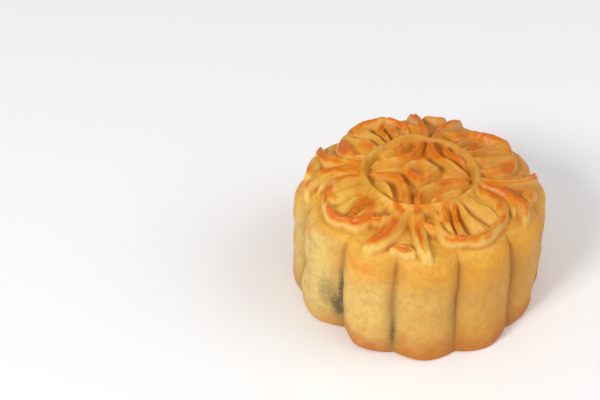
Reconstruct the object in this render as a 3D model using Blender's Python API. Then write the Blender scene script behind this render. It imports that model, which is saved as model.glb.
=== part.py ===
"""Mooncake: one solid scalloped cake with a pressed pattern on its top.

The cake stands on its flat base at z = 0, its axis on the z axis.
Lengths are in millimetres until the vertices are written, which are in metres.

A point of the top is named by its azimuth and its reach: the distance from the
axis measured along the surface, over the shoulder. The pattern is laid out in
azimuth and reach, so it runs over the shoulder without being stretched.
"""
import math

import bmesh
import bpy
import numpy as np

MM = 0.001

# Body, in millimetres and degrees. Azimuths run anticlockwise from +X, seen from above.
LOBES = 12
LOBE_REACH = 31.9          # middle of the cake to the crown of a plain lobe
NOTCH_START = -163.9       # azimuth of the first notch
NOTCH_SHIFT = [0, 2.4, 0, 0, 0, 0, -1.0, 0, 1.0, 0, 0, -0.8]
LOBE_SWELL = [0.3, 0.0, 0.2, 0.0, 0.1, 0.5, 1.0, 0.5, 0.0, -0.5, -0.8, -0.2]
BASE_SPREAD = [            # extra reach at the base, at each notch and each lobe's middle
    0.0, 0.0, -2.2, 0.4, 0.3, 1.4, 0.5, 1.2, -0.1, -0.2, -0.4, 0.1,
    0.3, 0.6, -0.2, 0.5, 0.0, 0.8, -0.4, 0.5, -0.1, 0.6, -0.5, 0.2,
]
SPREAD_HEIGHT = 13.0       # height where that extra reach has faded out
GROUND_TOP = 32.9          # height of the ground under the pattern, at the middle
TOP_FALL = 2.6             # fall of that ground from the middle to the shoulder
SHOULDER_START = 24.9      # reach where the shoulder starts to turn down
SHOULDER_DROP = 4.8        # height of the shoulder's quarter turn
SHOULDER_ARC = 11.2        # length along the shoulder, from its start to the side
GROOVE = 3.2               # depth of a notch at the shoulder
BASE_GROOVE = 1.5          # depth of a notch at the base
GROOVE_FADE = 0.7          # power of the sine that the depth follows up the side
BELLY = 0.5                # how far the side swells out at half height
BASE_ROUNDING = 1.0
LOBE_ARC = 0.65            # share of a half circle in a lobe's section, the rest a parabola
LOBE_ARC_USED = 0.98       # how much of that half circle's width is used
BASE_SWELL = 0.4           # share of a lobe's swell that is left at the base
RIM_RIDGE = 0.4            # low ridge that runs round the shoulder
RIM_RIDGE_REACH = 29.5
RIM_RIDGE_WIDTH = 1.3
RIM_RISE = [0.4, 0.5, 0.0, 0.0, 0.0, 0.0, 0.0, -0.9, 0.0, 0.2, -0.1, 0.1]
RIM_RISE_FROM = 14.0       # reach where a lobe's own rise begins
RIM_RISE_TO = 24.0         # reach where it is full

# Mesh
TOP_CELLS = 168            # across the top, so 4 times as many columns round the side
KEPT_SHARE = 0.14          # share of the fine triangles left where the surface is plain
SIDE_ROWS = [21.5, 17.0, 13.0, 9.0, 5.0, 2.5, BASE_ROUNDING]

# Pattern
PATTERN_TURN = -57.0       # azimuth of the first fan
REPEATS = 4
SQUEEZE = [0, 0, 0, 4.0]   # how far each fan's leaves are pushed aside
RELIEF = 3.05              # height of the raised lines above the ground
RELIEF_FULL = 28.0         # reach up to which they have their full height
RELIEF_END = 35.0          # reach where nothing is left of it
RING = 14.45               # radius of the round ridge's crest
RING_WIDTH = 1.4           # half its width
RING_TALL = 0.95           # its height, as a share of the relief
FRAME_TURN = 5.5           # how far the square frame is turned from the fans
FRAME_SIDE = 2.75          # axis to the crest of a bar of the square frame
FRAME_BAR = 1.55           # half the width of a bar
FRAME_SQUARENESS = 7       # 2 would make the frame round
FRAME_SECTION = 2.5        # power of a bar's rounded section
SECTION = 0.8              # power that rounds a ridge's section
LEAN = 0.3                 # share of the shoulder's slope that the pattern leans out by
VEIN = 0.5                 # half the width of the vein cut along a leaf's crest
VEIN_DEPTH = 0.3           # its depth, as a share of the leaf's height
HOLE_FLOOR = 0.25          # floor inside the square frame, as a share of the relief
MIDDLE_FLOOR = 0.12        # floor between the ring and the frame
MIDDLE_FLOOR_EDGE = (0.3, 1.8)   # that floor rises between these distances from a diagonal
FAN_MIDDLE = (-1.0, 19.3)  # middle of the round floor under the petals, degrees and reach
FAN_HALF_WIDTH = 8.2
FAN_FLOOR = 0.6
FAN_EDGE = 12              # power that rounds that floor's edge
LEAST_FULL = 0.05          # narrowest a leaf gets, as a share of its width
CURVE_STEPS = 10

# Raised leaves of one fan. Start, bend and tip of the crest are each degrees from the fan's
# axis and reach. Then how far the leaf slopes down to the left and right of its crest, how
# full it still is at its start and at its tip, and its height.
ARCH = [
    ((-39, 12.6), (28, 4.9), (39.5, 12.2), 1.4, 1.5, 0.15, 0.6, 1.05),
]
HALF_MOON = [
    ((-19, 12.4), (3, 10.2), (24, 12.6), 1.2, 1.2, 0.3, 0.4, 1.0),
]
PETALS = [
    ((-32, 15.5), (-34, 21.7), (-16.5, 24.7), 1.3, 3.2, 0.5, 0.5, 1.0),
    ((-12.5, 14.0), (-16.5, 21.2), (-14, 24.8), 0.9, 3.3, 0.5, 0.8, 0.93),
    ((-1, 13.5), (-1, 20.0), (0, 25.5), 1.3, 1.3, 0.6, 0.9, 0.9),
    ((4.5, 14.0), (5, 19.5), (13, 25.0), 1.2, 1.3, 0.5, 0.7, 0.97),
    ((15, 14.5), (18, 19.5), (15.5, 23.2), 1.5, 1.5, 0.6, 0.5, 0.85),
    ((25, 15.0), (27, 24.1), (14, 25.4), 1.5, 1.4, 0.4, 0.9, 1.0),
]
FRILL = [
    ((-36, 19.0), (-30.5, 24.8), (-9, 26.3), 1.2, 1.7, 0.4, 0.9, 0.85),
    ((-11, 25.6), (1, 29.3), (14, 26.0), 1.3, 2.4, 0.7, 0.9, 1.05),
    ((12, 26.4), (20.5, 27.4), (23.5, 22.5), 1.2, 2.2, 0.7, 0.8, 0.75),
]
SEPALS = [
    ((-41, 20.0), (-37, 23.6), (-27, 25.8), 1.1, 1.3, 0.4, 0.4, 0.75),
    ((38, 18.0), (33.0, 21.6), (24.0, 21.8), 1.3, 1.0, 0.6, 0.8, 0.92),
]
LEAVES = [
    ((-44, 15.5), (-42.5, 27.6), (-26, 30.3), 1.5, 2.5, 0.7, 0.35, 0.95),
    ((40, 14.8), (39, 24.2), (32, 30.2), 2.3, 1.9, 0.8, 0.35, 1.0),
]
BUD = [
    ((-5.0, 28.2), (0, 29.0), (5.0, 28.2), 2.3, 2.7, 0.3, 0.3, 0.88),
]
# Cuts that part the petals, and shorter ones across the frill, given as the leaves are.
PETAL_CUTS = [
    ((2.5, 16.0), (5.0, 20.0), (6.3, 24.6), 1.1, 1.1, 0.1, 1.0, 0.55),
    ((-5.0, 16.0), (-6.0, 20.0), (-6.8, 24.2), 0.9, 0.9, 0.1, 1.0, 0.45),
    ((10.0, 15.5), (11.5, 18.5), (12.5, 22.8), 0.7, 0.7, 0.1, 1.0, 0.5),
    ((31.0, 15.6), (28.0, 16.4), (24.5, 19.0), 1.2, 1.1, 0.4, 0.8, 0.75),
]
FRILL_CUTS = [
    ((11.0, 27.6), (11.2, 29.0), (11.4, 31.0), 0.8, 0.8, 0.3, 1.0, 0.4),
    ((-6.0, 27.8), (-6.0, 29.5), (-6.0, 31.0), 0.7, 0.7, 0.3, 1.0, 0.25),
    ((23.0, 25.6), (23.5, 27.0), (24.0, 29.0), 0.8, 0.8, 0.3, 1.0, 0.4),
]


def polar(degrees, reach):
    """Degrees clockwise from the fan's axis and a reach, as across and along the axis."""
    angle = math.radians(degrees)
    return np.array([reach * math.sin(angle), reach * math.cos(angle)])


def smoothstep(low, high, value):
    """0 below low, 1 above high, and 3t^2 - 2t^3 between them."""
    t = np.clip((value - low) / (high - low), 0, 1)
    return t * t * (3 - 2 * t)


def leaf(across, along, start, bend, tip, left, right, begin, end, tall):
    """Height, 0 to 1, of a raised leaf with a crest that is a curve with one bend.

    Its section is a power of 1 less the squared distance from the crest, in widths of that
    side. Towards its start and its tip it narrows as a quarter circle does.
    """
    start, bend, tip = polar(*start), polar(*bend), polar(*tip)
    step = np.linspace(0, 1, CURVE_STEPS + 1)[:, None]
    line = (1 - step) ** 2 * start + 2 * step * (1 - step) * bend + step ** 2 * tip
    opening = np.sqrt(1 - (1 - np.minimum(step[:, 0] / 0.5, 1)) ** 2)
    closing = np.sqrt(1 - (1 - np.minimum((1 - step[:, 0]) / 0.5, 1)) ** 2)
    fullness = (begin + (1 - begin) * opening) * (end + (1 - end) * closing)
    fullness = np.maximum(fullness, LEAST_FULL)
    best = np.zeros_like(across)
    for i in range(CURVE_STEPS):
        run = line[i + 1] - line[i]
        part = ((across - line[i, 0]) * run[0] + (along - line[i, 1]) * run[1]) / run.dot(run)
        part = np.clip(part, 0, 1)
        off_x = across - line[i, 0] - part * run[0]
        off_y = along - line[i, 1] - part * run[1]
        on_left = run[0] * off_y - run[1] * off_x > 0
        full = fullness[i] + part * (fullness[i + 1] - fullness[i])
        gap = np.hypot(off_x, off_y) / (full * np.where(on_left, left, right))
        best = np.maximum(best, full ** 0.5 * np.maximum(0, 1 - gap ** 2) ** SECTION)
    return tall * best


def pattern_height(azimuth, reach):
    """Height, 0 to 1, of the whole pattern: the highest of the ring, frame, floors and leaves.

    Each fan is the mirror image of the one before it.
    """
    height = RING_TALL * np.maximum(0, 1 - ((reach - RING) / RING_WIDTH) ** 2) ** SECTION
    turned = np.radians(PATTERN_TURN) - azimuth
    flat = turned + np.radians(FRAME_TURN)
    square = reach * (
        np.abs(np.sin(flat)) ** FRAME_SQUARENESS + np.abs(np.cos(flat)) ** FRAME_SQUARENESS
    ) ** (1 / FRAME_SQUARENESS)
    bar = 1 - np.abs((square - FRAME_SIDE) / FRAME_BAR) ** FRAME_SECTION
    height = np.maximum(height, bar)
    height = np.maximum(height, np.where(square < FRAME_SIDE, HOLE_FLOOR, 0))
    eighth = np.abs((turned - math.pi / 4) % (math.pi / 2) - math.pi / 4)
    aside = reach * np.sin(math.pi / 4 - eighth)
    floor = MIDDLE_FLOOR * smoothstep(*MIDDLE_FLOOR_EDGE, aside)
    height = np.maximum(height, np.where(reach < RING, floor, 0))
    for repeat in range(REPEATS):
        turned = np.radians(PATTERN_TURN + 360 / REPEATS * repeat) - azimuth
        turned = (turned + math.pi) % (2 * math.pi) - math.pi
        turned = turned + np.radians(SQUEEZE[repeat]) * np.sin(4 * turned)
        hand = 1 - 2 * (repeat % 2)
        across, along = hand * reach * np.sin(turned), reach * np.cos(turned)
        middle = polar(*FAN_MIDDLE)
        spread = np.hypot(across - middle[0], along - middle[1]) / FAN_HALF_WIDTH
        fan = np.maximum(FAN_FLOOR * (1 - spread ** FAN_EDGE), 0)
        for shape in PETALS + SEPALS:
            fan = np.maximum(fan, leaf(across, along, *shape))
        for shape in PETAL_CUTS:
            fan = fan - leaf(across, along, *shape)
        height = np.maximum(height, fan)
        for shape in ARCH + HALF_MOON + FRILL:
            height = np.maximum(height, leaf(across, along, *shape))
        diagonal = turned - math.pi / 4
        corner_across, corner_along = reach * np.sin(diagonal), reach * np.cos(diagonal)
        for x, y, leaves in ((across, along, LEAVES), (corner_across, corner_along, BUD)):
            for shape in leaves:
                vein = leaf(x, y, *shape[:3], VEIN, VEIN, *shape[5:])
                height = np.maximum(height, leaf(x, y, *shape) - VEIN_DEPTH * vein)
        for shape in FRILL_CUTS:
            height = height - np.minimum(leaf(across, along, *shape), height)
    return height


def soften(grid):
    """Each value becomes a quarter of both neighbours and half of itself, in both directions."""
    padded = np.pad(grid, 1, mode="edge")
    rows = (padded[:-2] + 2 * padded[1:-1] + padded[2:]) / 4
    return (rows[:, :-2] + 2 * rows[:, 1:-1] + rows[:, 2:]) / 4


def lobe_place(azimuth):
    """Lobe number and place across it, 0 to 1, with each notch moved by its own shift."""
    regular = (np.degrees(azimuth) - NOTCH_START) % 360 / (360 / LOBES)
    shifts = np.array(NOTCH_SHIFT + NOTCH_SHIFT[:1]) / (360 / LOBES)
    place = np.interp(regular, np.arange(LOBES + 1) + shifts, np.arange(LOBES + 1))
    lobe = np.minimum(place.astype(int), LOBES - 1)
    return lobe, place - lobe


def between(values, place):
    """The values given at 0, 1, 2 and so on round the cake, eased from each to the next."""
    ends = np.array(values + values[:1])
    before = np.clip(place.astype(int), 0, len(values) - 1)
    ease = (1 - np.cos(math.pi * (place - before))) / 2
    return ends[before] * (1 - ease) + ends[before + 1] * ease


def side_radius(azimuth, z):
    """Distance from the axis to the side: rounded lobes with a notch between them.

    Across a lobe the surface is part half circle and part parabola, squashed to the
    groove's depth, which shrinks from the shoulder down to the base.
    """
    lobe, place = lobe_place(azimuth)
    across = np.abs(2 * place - 1)
    level = np.clip(z / (GROUND_TOP - TOP_FALL - SHOULDER_DROP), 0, 1)
    swell = between(LOBE_SWELL, lobe + place) * (BASE_SWELL + (1 - BASE_SWELL) * level)
    spread = between(BASE_SPREAD, 2 * (lobe + place)) * smoothstep(SPREAD_HEIGHT, 0, z)
    deepening = np.sin(math.pi / 2 * level) ** GROOVE_FADE
    depth = BASE_GROOVE + (GROOVE - BASE_GROOVE) * deepening
    arc = 1 - np.sqrt(1 - (LOBE_ARC_USED * across) ** 2)
    roundness = LOBE_ARC * arc + (1 - LOBE_ARC) * across ** 2
    reach = LOBE_REACH + swell + spread + BELLY * np.sin(math.pi * level)
    return reach - depth * roundness


def top_point(azimuth, reach):
    """Radius, height and slope of the ground: a low dome, then a quarter turn of shoulder."""
    shoulder_edge = GROUND_TOP - TOP_FALL
    inner = np.minimum(reach / SHOULDER_START, 1)
    slope = np.clip((reach - SHOULDER_START) / SHOULDER_ARC, 0, 1) * math.pi / 2
    side = side_radius(azimuth, shoulder_edge - SHOULDER_DROP)
    radius = np.minimum(reach, SHOULDER_START) + (side - SHOULDER_START) * np.sin(slope)
    lobe, place = lobe_place(azimuth)
    rise = between(RIM_RISE, lobe + place) * smoothstep(RIM_RISE_FROM, RIM_RISE_TO, reach)
    rise = rise + RIM_RIDGE * np.exp(-((reach - RIM_RIDGE_REACH) / RIM_RIDGE_WIDTH) ** 2)
    fall = TOP_FALL * inner ** 2 + SHOULDER_DROP * (1 - np.cos(slope))
    return radius, GROUND_TOP - fall + rise * np.cos(slope), slope


def cake_mesh():
    """A square grid rounded into the top, its edge run down the side, its base filled."""
    shape = bmesh.new()
    bmesh.ops.create_grid(shape, x_segments=TOP_CELLS, y_segments=TOP_CELLS, size=1)
    square = np.array([vertex.co for vertex in shape.verts])
    ring = np.maximum(np.abs(square[:, 0]), np.abs(square[:, 1]))
    wide = np.abs(square[:, 0]) >= np.abs(square[:, 1])
    safe = np.where(ring > 0, ring, 1)
    turn = math.pi / 4 * np.where(wide, square[:, 1], square[:, 0]) / safe
    flat_x = np.where(wide, np.sign(square[:, 0]) * np.cos(turn), np.sin(turn))
    flat_y = np.where(wide, np.sin(turn), np.sign(square[:, 1]) * np.cos(turn))
    azimuth = np.arctan2(flat_y, flat_x) + math.radians(NOTCH_START)
    reach = ring * (SHOULDER_START + SHOULDER_ARC)
    raised = pattern_height(azimuth, reach).reshape(TOP_CELLS + 1, TOP_CELLS + 1)
    lift = RELIEF * soften(raised).reshape(-1) * smoothstep(RELIEF_END, RELIEF_FULL, reach)
    radius, z, slope = top_point(azimuth, reach)
    radius = radius + lift * np.sin(LEAN * slope)
    z = z + lift * np.cos(LEAN * slope)
    for vertex, a, r, height in zip(shape.verts, azimuth, radius, z):
        vertex.co = (r * math.cos(a) * MM, r * math.sin(a) * MM, height * MM)

    edge = [e for e in shape.edges if e.is_boundary]
    for row in SIDE_ROWS + [0]:
        grown = bmesh.ops.extrude_edge_only(shape, edges=edge)["geom"]
        edge = [item for item in grown if isinstance(item, bmesh.types.BMEdge)]
        for vertex in (item for item in grown if isinstance(item, bmesh.types.BMVert)):
            a = math.atan2(vertex.co.y, vertex.co.x)
            inset = BASE_ROUNDING if row == 0 else 0
            r = float(side_radius(np.array([a]), row)[0]) - inset
            vertex.co = (r * math.cos(a) * MM, r * math.sin(a) * MM, row * MM)
    bmesh.ops.edgeloop_fill(shape, edges=edge)
    bmesh.ops.recalc_face_normals(shape, faces=shape.faces)
    mesh = bpy.data.meshes.new("mooncake")
    shape.to_mesh(mesh)
    shape.free()
    return mesh


def crust():
    """Baked golden-brown crust."""
    material = bpy.data.materials.new("crust")
    material.use_nodes = True
    surface = material.node_tree.nodes["Principled BSDF"]
    surface.inputs["Base Color"].default_value = (0.68, 0.34, 0.09, 1)
    surface.inputs["Roughness"].default_value = 0.5
    surface.inputs["Metallic"].default_value = 0
    return material


for thing in list(bpy.data.objects):
    bpy.data.objects.remove(thing, do_unlink=True)
food = bpy.data.collections.new("mooncake")
bpy.context.scene.collection.children.link(food)
mooncake = bpy.data.objects.new("mooncake", cake_mesh())
mooncake.data.materials.append(crust())
food.objects.link(mooncake)
thin = mooncake.modifiers.new("thin", "DECIMATE")
thin.ratio = KEPT_SHARE
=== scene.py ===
"""A baked mooncake on a pale floor: a scalloped cake with a deep pressed pattern on its top."""
import math

import bpy
import numpy as np
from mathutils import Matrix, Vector


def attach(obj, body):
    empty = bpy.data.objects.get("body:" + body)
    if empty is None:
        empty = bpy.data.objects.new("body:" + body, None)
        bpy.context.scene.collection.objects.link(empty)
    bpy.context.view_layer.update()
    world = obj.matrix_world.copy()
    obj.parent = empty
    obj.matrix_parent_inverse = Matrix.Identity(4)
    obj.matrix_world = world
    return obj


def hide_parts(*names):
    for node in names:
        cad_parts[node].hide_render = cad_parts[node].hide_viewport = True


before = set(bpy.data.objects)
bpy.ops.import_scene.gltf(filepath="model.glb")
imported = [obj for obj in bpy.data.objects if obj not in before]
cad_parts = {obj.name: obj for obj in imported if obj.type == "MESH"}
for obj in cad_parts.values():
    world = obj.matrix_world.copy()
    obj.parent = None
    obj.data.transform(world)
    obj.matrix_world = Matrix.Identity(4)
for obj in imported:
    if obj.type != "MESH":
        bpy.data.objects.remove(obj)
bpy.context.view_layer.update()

MM = 0.001

# ---------------------------------------------------------------------------------------------
# Body of the cake
# A dense paste filling in a thin dough skin, pressed in a round mould with twelve flutes and
# knocked out. The sides swell and the notches between the flutes soften as it bakes.
# ---------------------------------------------------------------------------------------------
LOBES = 12
LOBE_REACH = 31.6          # all lengths here are in millimetres, all angles in degrees
NOTCH_START = -163.9       # azimuth of the first notch, anticlockwise from +X
NOTCH_SHIFT = [0, 2.4, 0, 0, 0, 0, -1.0, 0, 1.0, 0, 0, -0.8]
LOBE_SWELL = [0.3, 0.0, 0.2, 0.0, 0.1, 0.5, 1.0, 0.5, 0.0, -0.5, -0.8, -0.2]
BASE_SPREAD = [
    0.0, 0.0, -2.2, 0.4, 0.3, 1.4, 0.5, 1.2, -0.1, -0.2, -0.4, 0.1,
    0.3, 0.6, -0.2, 0.5, 0.0, 0.8, -0.4, 0.5, -0.1, 0.6, -0.5, 0.2,
]
SPREAD_HEIGHT = 13.0       # height where the base's extra reach has faded out
BASE_SWELL = 0.4           # share of a lobe's swell that is left at the base
LOBE_ARC = 0.65            # share of a half circle in a lobe's section, the rest a parabola
LOBE_ARC_USED = 0.98       # how much of that half circle's width is used
GROUND_TOP = 32.9
TOP_FALL = 2.6
SHOULDER_START = 24.9
SHOULDER_DROP = 4.8
SHOULDER_ARC = 11.2
GROOVE = 3.2
BASE_GROOVE = 1.5
GROOVE_FADE = 0.7          # power of the sine that the groove's depth follows up the side
BELLY = 0.5
BASE_ROUNDING = 1.0
RIM_RIDGE = 0.4            # low ridge round the shoulder, at this reach and this wide
RIM_RIDGE_REACH = 29.5
RIM_RIDGE_WIDTH = 1.3
RIM_RISE = [0.4, 0.5, 0.0, 0.0, 0.0, 0.0, 0.0, -0.9, 0.0, 0.2, -0.1, 0.1]
RIM_RISE_FROM, RIM_RISE_TO = 14, 24


def smoothstep(low, high, value):
    """0 below low, 1 above high, and 3t^2 - 2t^3 between them."""
    t = np.clip((value - low) / (high - low), 0, 1)
    return t * t * (3 - 2 * t)


def swells(x, y, z, size, seed, count=28):
    """Smooth random unevenness: a sum of plane sine waves about size long, each way up.

    The sum is divided by the square root of half its count, so it is mostly within -1.5 and 1.5.
    """
    draw = np.random.default_rng(seed)
    total = np.zeros_like(x)
    for _ in range(count):
        way = draw.normal(size=3)
        way *= 2 * math.pi / (size * draw.uniform(0.7, 1.6)) / np.linalg.norm(way)
        total += np.sin(way[0] * x + way[1] * y + way[2] * z + draw.uniform(0, 2 * math.pi))
    return total / math.sqrt(count / 2)


def lobe_place(azimuth):
    """Lobe number and the place across it, 0 to 1, with each notch moved by its own shift."""
    regular = (np.degrees(azimuth) - NOTCH_START) % 360 / (360 / LOBES)
    shifts = np.array(NOTCH_SHIFT + NOTCH_SHIFT[:1]) / (360 / LOBES)
    place = np.interp(regular, np.arange(LOBES + 1) + shifts, np.arange(LOBES + 1))
    lobe = np.minimum(place.astype(int), LOBES - 1)
    return lobe, place - lobe


def between(values, place):
    """The values given at 0, 1, 2 and so on round the cake, eased from each one to the next."""
    ends = np.array(values + values[:1])
    before = np.clip(place.astype(int), 0, len(values) - 1)
    ease = (1 - np.cos(math.pi * (place - before))) / 2
    return ends[before] * (1 - ease) + ends[before + 1] * ease


def side_radius(azimuth, z, blunt=0.0):
    """Distance from the axis to the side: rounded lobes with a notch between them.

    Across a lobe the surface is part half circle and part parabola, squashed to the groove's
    depth, which shrinks from the shoulder down to the base. The place across a lobe is 1 less
    the hypotenuse of its distance from the notch and of blunt, which rounds off the notch.
    """
    lobe, place = lobe_place(azimuth)
    across = 1 - np.hypot(1 - np.abs(2 * place - 1), blunt)
    level = np.clip(z / (GROUND_TOP - TOP_FALL - SHOULDER_DROP), 0, 1)
    swell = between(LOBE_SWELL, lobe + place) * (BASE_SWELL + (1 - BASE_SWELL) * level)
    spread = between(BASE_SPREAD, 2 * (lobe + place)) * smoothstep(SPREAD_HEIGHT, 0, z)
    deepening = np.sin(math.pi / 2 * level) ** GROOVE_FADE
    depth = BASE_GROOVE + (GROOVE - BASE_GROOVE) * deepening
    arc = 1 - np.sqrt(1 - (LOBE_ARC_USED * across) ** 2)
    roundness = LOBE_ARC * arc + (1 - LOBE_ARC) * across ** 2
    return LOBE_REACH + swell + spread + BELLY * np.sin(math.pi * level) - depth * roundness


def top_point(azimuth, reach, blunt):
    """Radius, height and slope of the ground: a low dome, then a quarter turn of shoulder."""
    shoulder_edge = GROUND_TOP - TOP_FALL
    inner = np.minimum(reach / SHOULDER_START, 1)
    slope = np.clip((reach - SHOULDER_START) / SHOULDER_ARC, 0, 1) * math.pi / 2
    side = side_radius(azimuth, shoulder_edge - SHOULDER_DROP, blunt)
    radius = np.minimum(reach, SHOULDER_START) + (side - SHOULDER_START) * np.sin(slope)
    lobe, place = lobe_place(azimuth)
    rise = between(RIM_RISE, lobe + place) * smoothstep(RIM_RISE_FROM, RIM_RISE_TO, reach)
    rise = rise + RIM_RIDGE * np.exp(-((reach - RIM_RIDGE_REACH) / RIM_RIDGE_WIDTH) ** 2)
    fallen = GROUND_TOP - TOP_FALL * inner ** 2 - SHOULDER_DROP * (1 - np.cos(slope))
    z = fallen + rise * np.cos(slope)
    return radius, z, slope


# ---------------------------------------------------------------------------------------------
# Pressed pattern
# The mould's plate is carved with a square frame in a ring, arches and half moons round it,
# and four lotus fans with long leaves and buds between. The dough stands up in the carving.
# ---------------------------------------------------------------------------------------------
PATTERN_TURN = -57.0
REPEATS = 4
SQUEEZE = [0.0, 0.0, 0.0, 4.0]
RELIEF = 3.05
RELIEF_FULL = 28.0
RELIEF_END = 35.0
RING = 14.45
RING_WIDTH = 1.4
RING_TALL = 0.95           # height of the ring, as a share of the relief
RING_BAKE = 0.25           # how dark the ring's crest bakes, and the frame's
FRAME_BAKE = 0.7
FRAME_TURN = 5.5
FRAME_SIDE = 2.75
FRAME_BAR = 1.55
SECTION = 0.8
BAKE_REACH = 1.7
VEIN = 0.5                 # half the width of the vein cut along a leaf's crest
VEIN_DEPTH = 0.3           # its depth, as a share of the leaf's height
LEAN = 0.3
CURVE_STEPS = 12

# Crest lines of the raised leaves. Start, bend and tip are each degrees clockwise from the fan's
# axis and reach. Then how far the leaf slopes down to the left and right of that line, going
# from start to tip, how full it still is at its start and at its tip, its height, and how dark
# its crest bakes, all 0 to 1.
ARCH = [
    ((-39, 12.6), (28, 4.9), (39.5, 12.2), 1.4, 1.5, 0.15, 0.6, 1.05, 0.95),
]
HALF_MOON = [
    ((-19, 12.4), (3, 10.2), (24, 12.6), 1.2, 1.2, 0.3, 0.4, 1.0, 0.8),
]
PETALS = [
    ((-32, 15.5), (-34, 21.7), (-16.5, 24.7), 1.3, 3.2, 0.5, 0.5, 1.0, 1.0),
    ((-12.5, 14.0), (-16.5, 21.2), (-14, 24.8), 0.9, 3.3, 0.5, 0.8, 0.93, 0.25),
    ((-1, 13.5), (-1, 20.0), (0, 25.5), 1.3, 1.3, 0.6, 0.9, 0.9, 0.2),
    ((4.5, 14.0), (5, 19.5), (13, 25.0), 1.2, 1.3, 0.5, 0.7, 0.97, 0.7),
    ((15, 14.5), (18, 19.5), (15.5, 23.2), 1.5, 1.5, 0.6, 0.5, 0.85, 0.4),
    ((25, 15.0), (27, 24.1), (14, 25.4), 1.5, 1.4, 0.4, 0.9, 1.0, 1.0),
]
FRILL = [
    ((-36, 19.0), (-30.5, 24.8), (-9, 26.3), 1.2, 1.7, 0.4, 0.9, 0.85, 0.9),
    ((-11, 25.6), (1, 29.3), (14, 26.0), 1.3, 2.4, 0.7, 0.9, 1.05, 1.1),
    ((12, 26.4), (20.5, 27.4), (23.5, 22.5), 1.2, 2.2, 0.7, 0.8, 0.75, 0.7),
]
SEPALS = [
    ((-41, 20.0), (-37, 23.6), (-27, 25.8), 1.1, 1.3, 0.4, 0.4, 0.75, 0.8),
    ((38, 18.0), (33.0, 21.6), (24.0, 21.8), 1.3, 1.0, 0.6, 0.8, 0.92, 1.0),
]
LEAVES = [
    ((-44, 15.5), (-42.5, 27.6), (-26, 30.3), 1.5, 2.5, 0.7, 0.35, 0.95, 1.15),
    ((40, 14.8), (39, 24.2), (32, 30.2), 2.3, 1.9, 0.8, 0.35, 1.0, 1.1),
]
BUD = [
    ((-5.0, 28.2), (0, 29.0), (5.0, 28.2), 2.3, 2.7, 0.3, 0.3, 0.88, 1.0),
]
FAN_MIDDLE = (-1.0, 19.3)
FAN_HALF_WIDTH = 8.2
FAN_FLOOR = 0.6
# Cuts that part the petals, and shorter ones across the frill, given as the leaves are.
PETAL_CUTS = [
    ((2.5, 16.0), (5.0, 20.0), (6.3, 24.6), 1.1, 1.1, 0.1, 1.0, 0.55),
    ((-5.0, 16.0), (-6.0, 20.0), (-6.8, 24.2), 0.9, 0.9, 0.1, 1.0, 0.45),
    ((10.0, 15.5), (11.5, 18.5), (12.5, 22.8), 0.7, 0.7, 0.1, 1.0, 0.5),
    ((31.0, 15.6), (28.0, 16.4), (24.5, 19.0), 1.2, 1.1, 0.4, 0.8, 0.75),
]
FRILL_CUTS = [
    ((11.0, 27.6), (11.2, 29.0), (11.4, 31.0), 0.8, 0.8, 0.3, 1.0, 0.4),
    ((-6.0, 27.8), (-6.0, 29.5), (-6.0, 31.0), 0.7, 0.7, 0.3, 1.0, 0.25),
    ((23.0, 25.6), (23.5, 27.0), (24.0, 29.0), 0.8, 0.8, 0.3, 1.0, 0.4),
]
HOLE_FLOOR = 0.25
MIDDLE_FLOOR = 0.12
MIDDLE_FLOOR_EDGE = (0.3, 1.8)
FAN_EDGE = 12              # power that rounds the edge of the floor under the petals
FRAME_SQUARENESS = 7       # 2 would make the frame round
FRAME_SECTION = 2.5        # power of a bar's rounded section
LEAST_FULL = 0.05          # narrowest a leaf gets, as a share of its width


def polar(degrees, reach):
    """Degrees clockwise from the fan's axis and a reach, as across and along the axis."""
    angle = math.radians(degrees)
    return np.array([reach * math.sin(angle), reach * math.cos(angle)])


def leaf(across, along, start, bend, tip, left, right, begin, end, tall):
    """Height of a raised leaf with a curved crest, and nearness to the crest, each 0 to 1.

    Its section is a power of 1 less the squared distance from the crest, in widths of that side.
    Towards its start and its tip it narrows as a quarter circle does, and its crest falls with
    the root of the width.
    """
    start, bend, tip = polar(*start), polar(*bend), polar(*tip)
    step = np.linspace(0, 1, CURVE_STEPS + 1)[:, None]
    line = (1 - step) ** 2 * start + 2 * step * (1 - step) * bend + step ** 2 * tip
    opening = np.sqrt(1 - (1 - np.minimum(step[:, 0] / 0.5, 1)) ** 2)
    closing = np.sqrt(1 - (1 - np.minimum((1 - step[:, 0]) / 0.5, 1)) ** 2)
    fullness = (begin + (1 - begin) * opening) * (end + (1 - end) * closing)
    fullness = np.maximum(fullness, LEAST_FULL)
    low, high = line.min(0) - max(left, right), line.max(0) + max(left, right)
    near = (across > low[0]) & (across < high[0]) & (along > low[1]) & (along < high[1])
    x, y = across[near], along[near]
    best, nearness = np.zeros_like(x), np.zeros_like(x)
    for i in range(CURVE_STEPS):
        run = line[i + 1] - line[i]
        part = np.clip(((x - line[i, 0]) * run[0] + (y - line[i, 1]) * run[1]) / run.dot(run), 0, 1)
        off_x, off_y = x - line[i, 0] - part * run[0], y - line[i, 1] - part * run[1]
        on_left = run[0] * off_y - run[1] * off_x > 0
        full = fullness[i] + part * (fullness[i + 1] - fullness[i])
        off = np.hypot(off_x, off_y)
        gap = off / (full * np.where(on_left, left, right))
        nearness = np.maximum(nearness, full * np.maximum(0, 1 - (off / BAKE_REACH) ** 2))
        best = np.maximum(best, full ** 0.5 * np.maximum(0, 1 - gap ** 2) ** SECTION)
    height, crest = np.zeros_like(across), np.zeros_like(across)
    height[near] = tall * best
    crest[near] = nearness
    return height, crest


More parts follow.
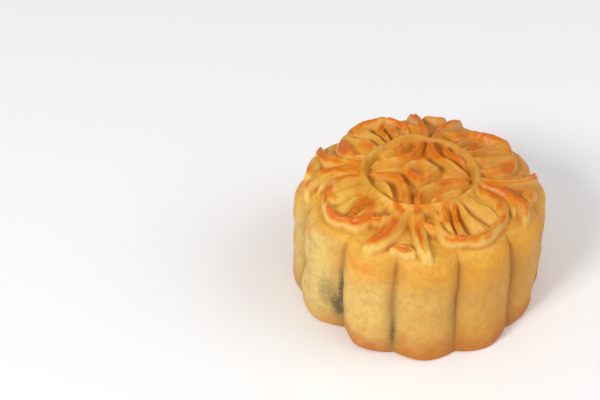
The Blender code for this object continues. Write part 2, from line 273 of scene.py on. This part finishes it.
def pattern(azimuth, reach):
    """Height of the pattern, 0 to 1, and how dark its crests bake, 0 to 1.

    The fans alternate with their mirror image. Leaves and buds have a vein cut in their crest.
    """
    height = RING_TALL * np.maximum(0, 1 - ((reach - RING) / RING_WIDTH) ** 2) ** SECTION
    bake = RING_BAKE * height
    turned = np.radians(PATTERN_TURN) - azimuth
    flat = turned + np.radians(FRAME_TURN)
    square = reach * (
        np.abs(np.sin(flat)) ** FRAME_SQUARENESS + np.abs(np.cos(flat)) ** FRAME_SQUARENESS
    ) ** (1 / FRAME_SQUARENESS)
    bar = np.maximum(0, 1 - np.abs((square - FRAME_SIDE) / FRAME_BAR) ** FRAME_SECTION)
    height = np.maximum(height, bar)
    height = np.maximum(height, np.where(square < FRAME_SIDE, HOLE_FLOOR, 0))
    eighth = np.abs((turned - math.pi / 4) % (math.pi / 2) - math.pi / 4)
    aside = reach * np.sin(math.pi / 4 - eighth)
    height = np.maximum(height, MIDDLE_FLOOR * smoothstep(*MIDDLE_FLOOR_EDGE, aside) * (reach < RING))
    bake = np.maximum(bake, FRAME_BAKE * bar)
    for repeat in range(REPEATS):
        turned = np.radians(PATTERN_TURN + 360 / REPEATS * repeat) - azimuth
        turned = (turned + math.pi) % (2 * math.pi) - math.pi
        turned = turned + np.radians(SQUEEZE[repeat]) * np.sin(4 * turned)
        hand = 1 - 2 * (repeat % 2)
        fan = hand * reach * np.sin(turned), reach * np.cos(turned)
        middle = polar(*FAN_MIDDLE)
        spread = np.hypot(fan[0] - middle[0], fan[1] - middle[1]) / FAN_HALF_WIDTH
        fan_height = np.maximum(FAN_FLOOR * (1 - spread ** FAN_EDGE), 0)
        for *shape, dark in PETALS + SEPALS:
            raised, crest = leaf(*fan, *shape)
            bake = np.where(raised > np.maximum(height, fan_height), dark * crest, bake)
            fan_height = np.maximum(fan_height, raised)
        for shape in PETAL_CUTS:
            fan_height = fan_height - leaf(*fan, *shape)[0]
        height = np.maximum(height, fan_height)
        diagonal = turned - math.pi / 4
        corner = reach * np.sin(diagonal), reach * np.cos(diagonal)
        for where, leaves, vein in (
            (fan, ARCH + HALF_MOON + FRILL, 0),
            (fan, LEAVES, VEIN),
            (corner, BUD, VEIN),
        ):
            for *shape, dark in leaves:
                raised, crest = leaf(*where, *shape)
                if vein:
                    cut = leaf(*where, *shape[:3], vein, vein, *shape[5:])[0]
                    raised = raised - VEIN_DEPTH * cut
                bake = np.where(raised > height, dark * crest, bake)
                height = np.maximum(height, raised)
        for shape in FRILL_CUTS:
            height = height - np.minimum(leaf(*fan, *shape)[0], height)
    return height, bake


def soften(grid, rounds):
    """Each value becomes a quarter of both neighbours and half of itself, in both directions."""
    for _ in range(rounds):
        padded = np.pad(grid, 1, mode="edge")
        rows = (padded[:-2] + 2 * padded[1:-1] + padded[2:]) / 4
        grid = (rows[:, :-2] + 2 * rows[:, 1:-1] + rows[:, 2:]) / 4
    return grid


# ---------------------------------------------------------------------------------------------
# Skin of the cake
# One closed surface: a square grid rounded into the top, its edge carried down the side in
# rows of half as many points, turned under at the base and closed to the middle.
# ---------------------------------------------------------------------------------------------
TOP_CELLS = 276
SIDE_ROWS = 36
BASE_TURNS = 4
DRIFT = 0.22               # how far the hand-cut pattern strays
RELIEF_UNEVEN = 0.08       # share of the relief that comes and goes
GRAIN_UNEVEN = 0.05        # fine unevenness of the dough, and broad unevenness of the side
SIDE_UNEVEN = 0.25
NOTCH_LEAN = 0.7           # degrees that a notch wanders on its way down
NOTCH_BLUNT = 0.13         # how far the notches are rounded off under the raised lines
BASE_INSET = 8             # width of the flat rim before the base closes to its middle

steps = np.linspace(-1, 1, TOP_CELLS + 1)
u, v = np.meshgrid(steps, steps, indexing="ij")
ring = np.maximum(np.abs(u), np.abs(v))
wide = np.abs(u) >= np.abs(v)
eighth = math.pi / 4 * np.where(wide, v, u) / np.where(ring > 0, ring, 1)
azimuth = np.arctan2(
    np.where(wide, np.sin(eighth), np.sign(v) * np.cos(eighth)),
    np.where(wide, np.sign(u) * np.cos(eighth), np.sin(eighth)),
) + math.radians(NOTCH_START)
reach = ring * (SHOULDER_START + SHOULDER_ARC)

flat_x, flat_y = reach * np.cos(azimuth), reach * np.sin(azimuth)
still = np.zeros_like(flat_x)
drift = DRIFT * smoothstep(0, 8, reach)
warp_x = flat_x + drift * swells(flat_x, flat_y, still, 9, 11)
warp_y = flat_y + drift * swells(flat_x, flat_y, still, 9, 12)
raised, bake = pattern(np.arctan2(warp_y, warp_x), np.hypot(warp_x, warp_y))
raised = soften(raised, 2)
bake = soften(bake, 4)
uneven = 1 + RELIEF_UNEVEN * swells(flat_x, flat_y, still, 7, 13)

blunt = NOTCH_BLUNT * smoothstep(0.05, 0.6, soften(raised, 6))
radius, z, slope = top_point(azimuth, reach, blunt)
lift = RELIEF * uneven * raised * smoothstep(RELIEF_END, RELIEF_FULL, reach)
lift = lift + GRAIN_UNEVEN * swells(flat_x, flat_y, still, 2.2, 14)
radius = radius + lift * np.sin(LEAN * slope)
z = z + lift * np.cos(LEAN * slope)
top = np.stack([radius * np.cos(azimuth), radius * np.sin(azimuth), z], -1)

number = np.arange((TOP_CELLS + 1) ** 2).reshape(TOP_CELLS + 1, TOP_CELLS + 1)
corners = [number[:-1, :-1], number[1:, :-1], number[1:, 1:], number[:-1, 1:]]
top_faces = np.stack(corners, -1).reshape(-1, 4)
edge = np.concatenate([number[-1, :-1], number[:0:-1, -1], number[0, :0:-1], number[:-1, 0]])

top_flat = top.reshape(-1, 3)
columns = len(edge) // 2
around = azimuth.reshape(-1)[edge[::2]]
shoulder_foot = GROUND_TOP - TOP_FALL - SHOULDER_DROP
rows_z = np.linspace(shoulder_foot, BASE_ROUNDING, SIDE_ROWS + 1)[1:]
turn = np.linspace(0, math.pi / 2, BASE_TURNS + 1)[1:]
rows_z = np.concatenate([rows_z, BASE_ROUNDING * (1 - np.sin(turn)), [0]])
inset = np.concatenate([np.zeros(SIDE_ROWS), BASE_ROUNDING * (1 - np.cos(turn)), [BASE_INSET]])
side_z, side_a = np.meshgrid(rows_z, around, indexing="ij")
fade = smoothstep(shoulder_foot, shoulder_foot - 6, side_z)
lean = np.radians(NOTCH_LEAN) * swells(30 * np.cos(side_a), 30 * np.sin(side_a), side_z, 22, 17) * fade
side_r = side_radius(side_a + lean, side_z) - inset[:, None]
side_x, side_y = side_r * np.cos(side_a), side_r * np.sin(side_a)
broad = SIDE_UNEVEN * swells(side_x, side_y, side_z, 12, 15)
hand = broad + GRAIN_UNEVEN * swells(side_x, side_y, side_z, 3, 16)
side_r = side_r + hand * fade * smoothstep(0, 2, side_z)
side = np.stack([side_r * np.cos(side_a), side_r * np.sin(side_a), side_z], -1)

first = len(top_flat)
rows = len(rows_z)
side_number = first + np.arange(rows * columns).reshape(rows, columns)
following = np.roll(side_number, -1, 1)
corners = [side_number[:-1], side_number[1:], following[1:], following[:-1]]
side_faces = np.stack(corners, -1).reshape(-1, 4)
coarse, coarse_next = side_number[0], following[0]
fine, fine_mid, fine_next = edge[::2], edge[1::2], np.roll(edge[::2], -1)
join_faces = np.concatenate([
    np.stack([fine, coarse, fine_mid], -1),
    np.stack([fine_mid, coarse, coarse_next], -1),
    np.stack([fine_mid, coarse_next, fine_next], -1),
])
middle = first + rows * columns
base_faces = np.stack([side_number[-1], np.full(columns, middle), following[-1]], -1)

points = np.concatenate([top_flat, side.reshape(-1, 3), [[0, 0, 0]]]) * MM
skin = bpy.data.meshes.new("mooncake")
skin.from_pydata(
    points, [],
    top_faces.tolist() + side_faces.tolist() + join_faces.tolist() + base_faces.tolist(),
)
skin.shade_smooth()
cake = bpy.data.objects.new("mooncake_skin", skin)
bpy.context.scene.collection.objects.link(cake)


def give(name, top_values, side_values=0.0):
    """Stores one number for every point of the skin, under this name."""
    values = np.concatenate([
        top_values.reshape(-1),
        np.broadcast_to(side_values, (rows, columns)).reshape(-1),
        [0],
    ])
    skin.attributes.new(name, "FLOAT", "POINT").data.foreach_set("value", values.astype(np.float32))


# Where each colour lies: browned crests, and painted shade in the pits, in the creases and along the side
# notches.
wide_raised = soften(raised, 60)
near_raised = soften(raised, 12)
along_u, along_v = np.gradient(top, axis=0), np.gradient(top, axis=1)
facing = np.cross(along_u, along_v)
flatness = soften(np.abs(facing[..., 2]) / np.linalg.norm(facing, axis=-1), 2)
patches = swells(flat_x, flat_y, still, 8, 21) + 0.5 * swells(flat_x, flat_y, still, 3, 22)
lobe, place = lobe_place(azimuth)
closeness = np.abs(2 * place - 1)
give("egg", smoothstep(34, 29, reach))
steep = smoothstep(0.86, 0.55, flatness) * smoothstep(19, 25, reach)
give("wall", steep * smoothstep(0.02, 0.3, near_raised))
give("bake", smoothstep(0.15, 0.9, bake + 0.3 * patches - 0.05) * smoothstep(0.35, 0.8, raised))
give("glow", smoothstep(0.05, 0.5, soften(bake, 24) + 0.1 * patches))
toast = smoothstep(-22, 26, 0.8 * flat_x + 0.7 * flat_y)
give("toast", toast)
# Painted shade in the pits: low ground hemmed in by raised lines.
give("pit_shade", smoothstep(0.35, 0.0, raised) * smoothstep(0.15, 0.45, wide_raised))
# Painted shade in the creases, where a raised line rises from the ground.
give("crease_shade", smoothstep(0.02, 0.22, near_raised - raised))
lobe, side_place = lobe_place(side_a + lean)
bare = smoothstep(0.3, 1.2, slope) * (1 - smoothstep(0, 0.3, raised))
side_closeness = np.abs(2 * side_place - 1)
# Painted shade near the notches, down the side and on the bare shoulder above them.
give(
    "notch",
    bare * (0.5 * smoothstep(0.5, 1.0, closeness) + 0.5 * smoothstep(0.86, 1.0, closeness)),
    0.5 * smoothstep(0.5, 1.0, side_closeness) + 0.5 * smoothstep(0.86, 1.0, side_closeness),
)


def toward(angles, side, spread, full):
    """1 within full degrees of the azimuth called side, easing to 0 at spread degrees from it."""
    return smoothstep(spread, full, np.abs((np.degrees(angles) - side + 180) % 360 - 180))


# The side that stayed pale, and the chalky patch of it: middle, spread and full, in degrees.
PALE = (-130.0, 70.0, 10)
CHALK = (-155.0, 28.0, 8)
give("pale", toward(azimuth, *PALE), toward(side_a, *PALE))
give("chalk", toward(azimuth, *CHALK), toward(side_a, *CHALK))

# Filling that shows through thin dough: azimuth, height, half width, half height, strength.
STAINS = [
    (-131.7, 12.0, 2.2, 12.5, 1.25),
    (-133.6, 9.0, 5.0, 6.5, 1.15),
    (-137.5, 12.5, 6.5, 6.5, 0.75),
    (-149.0, 17.0, 7.0, 12.0, 0.3),
    (-103.9, 7.0, 2.0, 7.0, 1.0),
    (-104.5, 15.0, 4.0, 9.0, 0.4),
    (-74.8, 12.0, 3.0, 10.0, 0.3),
    (-166.0, 14.0, 13.0, 16.0, 0.25),
    (40.0, 9.0, 5.0, 8.0, 0.5),
    (107.0, 12.0, 3.0, 9.0, 0.45),
]
stain = np.zeros_like(side_a)
for degrees, level, half_width, half_height, strength in STAINS:
    off = (np.degrees(side_a) - degrees + 180) % 360 - 180
    far = np.hypot(off / half_width, (side_z - level) / half_height)
    stain = np.maximum(stain, strength * smoothstep(1.3, 0.2, far))
give("stain", np.zeros_like(azimuth), stain)

# Crust: pale baked dough, brushed with egg on top, where the high parts brown.
crust = bpy.data.materials.new("crust")
crust.use_nodes = True
nodes, links = crust.node_tree.nodes, crust.node_tree.links
surface = nodes["Principled BSDF"]
surface.inputs["Specular IOR Level"].default_value = 0.25
surface.inputs["Subsurface Weight"].default_value = 0.07
surface.inputs["Subsurface Radius"].default_value = (1.0, 0.5, 0.25)
surface.inputs["Subsurface Scale"].default_value = 0.0015


def srgb(red, green, blue):
    """A colour as it looks, 0 to 255, as the light values that a shader takes."""
    value = np.array([red, green, blue]) / 255
    linear = np.where(value <= 0.04045, value / 12.92, ((value + 0.055) / 1.055) ** 2.4)
    return (*linear.tolist(), 1)


def attribute(name):
    """A number stored on the skin, read by the material."""
    node = nodes.new("ShaderNodeAttribute")
    node.attribute_name = name
    return node.outputs["Fac"]


def mixed(amount, below, above):
    """One colour turning into another as amount goes from 0 to 1."""
    node = nodes.new("ShaderNodeMix")
    node.data_type = "RGBA"
    links.new(amount, node.inputs[0])
    for socket, colour in ((node.inputs[6], below), (node.inputs[7], above)):
        if isinstance(colour, tuple):
            socket.default_value = colour
        else:
            links.new(colour, socket)
    return node.outputs[2]


def ramp(value, low, high, low_out=0.0, high_out=1.0):
    """The value spread from low and high to low_out and high_out, smoothly, and held there."""
    node = nodes.new("ShaderNodeMapRange")
    node.interpolation_type = "SMOOTHSTEP"
    links.new(value, node.inputs["Value"])
    for name, number in (("From Min", low), ("From Max", high), ("To Min", low_out), ("To Max", high_out)):
        node.inputs[name].default_value = number
    return node.outputs["Result"]


def arithmetic(operation, first, second):
    """Two values, or a value and a number, put together."""
    node = nodes.new("ShaderNodeMath")
    node.operation = operation
    for socket, value in zip(node.inputs, (first, second)):
        if isinstance(value, (int, float)):
            socket.default_value = value
        else:
            links.new(value, socket)
    return node.outputs[0]


def share(name, most):
    """A number stored on the skin, as a part of this most."""
    return arithmetic("MULTIPLY", attribute(name), most)


coordinates = nodes.new("ShaderNodeTexCoord").outputs["Object"]
split = nodes.new("ShaderNodeSeparateXYZ")
links.new(coordinates, split.inputs[0])
height_z = split.outputs["Z"]


def speckle(size, detail=2.0, roughness=0.5):
    """Cloudy noise, 0 to 1, with clouds about size metres across."""
    node = nodes.new("ShaderNodeTexNoise")
    links.new(coordinates, node.inputs["Vector"])
    node.inputs["Scale"].default_value = 1 / size
    node.inputs["Detail"].default_value = detail
    node.inputs["Roughness"].default_value = roughness
    return node.outputs["Fac"]


clouds = speckle(0.009)
mottle = speckle(0.0014, 4.0, 0.65)
grain = speckle(0.00045, 3.0, 0.6)

blotch = speckle(0.0045, 3.0, 0.55)
# The side: pale dough, golden towards the shoulder, freckled, browner at the foot.
side_colour = mixed(ramp(clouds, 0.35, 0.65), srgb(214, 158, 72), srgb(206, 146, 62))
side_colour = mixed(share("pale", 0.9), side_colour, srgb(224, 190, 108))
side_colour = mixed(ramp(blotch, 0.5, 0.66, 0.0, 0.35), side_colour, srgb(214, 150, 62))
unchalked = ramp(attribute("chalk"), 0.0, 1.0, 0.75, 0.2)
golden = arithmetic("MULTIPLY", ramp(height_z, 0.018, 0.026), unchalked)
side_colour = mixed(golden, side_colour, srgb(230, 160, 44))
freckles = speckle(0.0024, 4.0, 0.7)
side_colour = mixed(ramp(freckles, 0.5, 0.7, 0.0, 0.45), side_colour, srgb(188, 144, 76))
side_colour = mixed(ramp(freckles, 0.47, 0.3, 0.0, 0.3), side_colour, srgb(234, 192, 104))
ragged = arithmetic("ADD", height_z, arithmetic("MULTIPLY", arithmetic("SUBTRACT", blotch, 0.5), 0.012))
side_colour = mixed(ramp(ragged, 0.0095, 0.0, 0.0, 0.95), side_colour, srgb(190, 108, 32))
side_colour = mixed(share("chalk", 0.55), side_colour, srgb(222, 198, 122))
dust = arithmetic("MULTIPLY", attribute("chalk"), ramp(speckle(0.0035, 4.0, 0.65), 0.48, 0.64, 0.0, 0.6))
side_colour = mixed(dust, side_colour, srgb(176, 156, 100))
# Painted shade along the notches between the lobes, so the lobes look rounder.
side_colour = mixed(share("notch", 0.75), side_colour, srgb(172, 120, 52))
# Dark filling behind the thin dough of the grooves.
fibres = speckle(0.0011, 4.0, 0.7)
smudge = arithmetic("MULTIPLY", attribute("stain"), ramp(fibres, 0.62, 0.42, 0.72, 1.0))
side_colour = mixed(ramp(smudge, 0.05, 0.75, 0.0, 0.75), side_colour, srgb(150, 132, 82))
side_colour = mixed(ramp(smudge, 0.55, 1.15, 0.0, 0.85), side_colour, srgb(78, 74, 62))
# The top: egg wash, paler on the steep walls of the leaves, with painted shade in the creases and pits.
egg_colour = mixed(ramp(clouds, 0.3, 0.7), srgb(238, 190, 80), srgb(219, 158, 50))
egg_colour = mixed(share("toast", 0.75), egg_colour, srgb(206, 132, 46))
egg_colour = mixed(share("glow", 0.2), egg_colour, srgb(222, 134, 22))
colour = mixed(attribute("egg"), side_colour, egg_colour)
wall_colour = mixed(share("toast", 0.8), srgb(238, 202, 110), srgb(212, 152, 72))
colour = mixed(share("wall", 0.75), colour, wall_colour)
# Painted shade in the creases at the foot of the raised lines.
colour = mixed(share("crease_shade", 0.75), colour, srgb(208, 124, 20))
# Painted shade in the pits, darker still where they are lowest and most hemmed in.
colour = mixed(share("pit_shade", 0.7), colour, srgb(200, 120, 26))
colour = mixed(ramp(attribute("pit_shade"), 0.5, 1.0, 0.0, 0.45), colour, srgb(158, 90, 34))
# Blushes of egg on the shoulder, then the browned crests, then fine mottling of it all.
rim = arithmetic("MULTIPLY", ramp(height_z, 0.0235, 0.026), ramp(height_z, 0.0295, 0.0275))
blush = arithmetic("MULTIPLY", rim, ramp(speckle(0.006, 3.0, 0.6), 0.5, 0.62))
colour = mixed(arithmetic("MULTIPLY", blush, 0.5), colour, srgb(226, 136, 30))
burn = arithmetic("MULTIPLY", attribute("bake"), ramp(blotch, 0.3, 0.6, 0.6, 1.0))
colour = mixed(ramp(burn, 0.0, 0.75, 0.0, 0.92), colour, srgb(226, 128, 4))
colour = mixed(ramp(burn, 0.5, 1.0, 0.0, 0.6), colour, srgb(206, 82, 6))
colour = mixed(ramp(mottle, 0.6, 0.38, 0.0, 0.22), colour, srgb(192, 132, 52))
colour = mixed(ramp(grain, 0.45, 0.25, 0.0, 0.3), colour, srgb(170, 112, 50))
links.new(colour, surface.inputs["Base Color"])
gloss = arithmetic("SUBTRACT", 0.62, share("egg", 0.2))
gloss = arithmetic("SUBTRACT", gloss, arithmetic("MULTIPLY", ramp(burn, 0.1, 0.6), 0.14))
links.new(gloss, surface.inputs["Roughness"])
bump = nodes.new("ShaderNodeBump")
bump.inputs["Strength"].default_value = 0.35
bump.inputs["Distance"].default_value = 0.0003
links.new(arithmetic("ADD", mottle, arithmetic("MULTIPLY", grain, 0.5)), bump.inputs["Height"])
links.new(bump.outputs["Normal"], surface.inputs["Normal"])
cake.data.materials.append(crust)
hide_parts("mooncake")
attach(cake, "root")

# ---------------------------------------------------------------------------------------------
# Floor, light and camera
# A plain pale floor, soft lamps from the front left and above, and a long lens.
# ---------------------------------------------------------------------------------------------
floor_mesh = bpy.data.meshes.new("floor")
floor_mesh.from_pydata([(-4, -4, 0), (4, -4, 0), (4, 4, 0), (-4, 4, 0)], [], [(0, 1, 2, 3)])
floor = bpy.data.objects.new("floor", floor_mesh)
bpy.context.scene.collection.objects.link(floor)
paper = bpy.data.materials.new("paper")
paper.use_nodes = True
paper.node_tree.nodes["Principled BSDF"].inputs["Base Color"].default_value = (0.95, 0.95, 0.95, 1)
paper.node_tree.nodes["Principled BSDF"].inputs["Roughness"].default_value = 0.9
floor_mesh.materials.append(paper)


def lamp(name, place, size, power):
    """A square soft lamp that faces the top of the cake."""
    light = bpy.data.lights.new(name, "AREA")
    light.size = size
    light.energy = power
    holder = bpy.data.objects.new(name, light)
    bpy.context.scene.collection.objects.link(holder)
    holder.location = place
    toward = np.array([0, 0, 0.02]) - np.array(place)
    holder.rotation_euler = Vector(toward).to_track_quat("-Z", "Y").to_euler()


lamp("key", (-0.5, -0.56, 0.55), 0.24, 4.8)
lamp("fill", (0.6, -0.1, 0.6), 0.6, 2.1)

world = bpy.data.worlds.new("room")
world.use_nodes = True
world.node_tree.nodes["Background"].inputs["Color"].default_value = (1, 1, 1, 1)
world.node_tree.nodes["Background"].inputs["Strength"].default_value = 0.5
bpy.context.scene.world = world
bpy.context.scene.view_settings.view_transform = "Standard"

CAMERA_PLACE = (-30.17, -300.2, 261.6)   # millimetres, and the dip below level in degrees
CAMERA_DIP = 38.23
lens = bpy.data.cameras.new("camera")
lens.lens = 90
lens.sensor_width = 36
lens.clip_start = 0.01
camera = bpy.data.objects.new("camera", lens)
camera.location = [part * MM for part in CAMERA_PLACE]
camera.rotation_euler = (math.radians(90 - CAMERA_DIP), 0, 0)
bpy.context.scene.collection.objects.link(camera)
bpy.context.scene.camera = camera
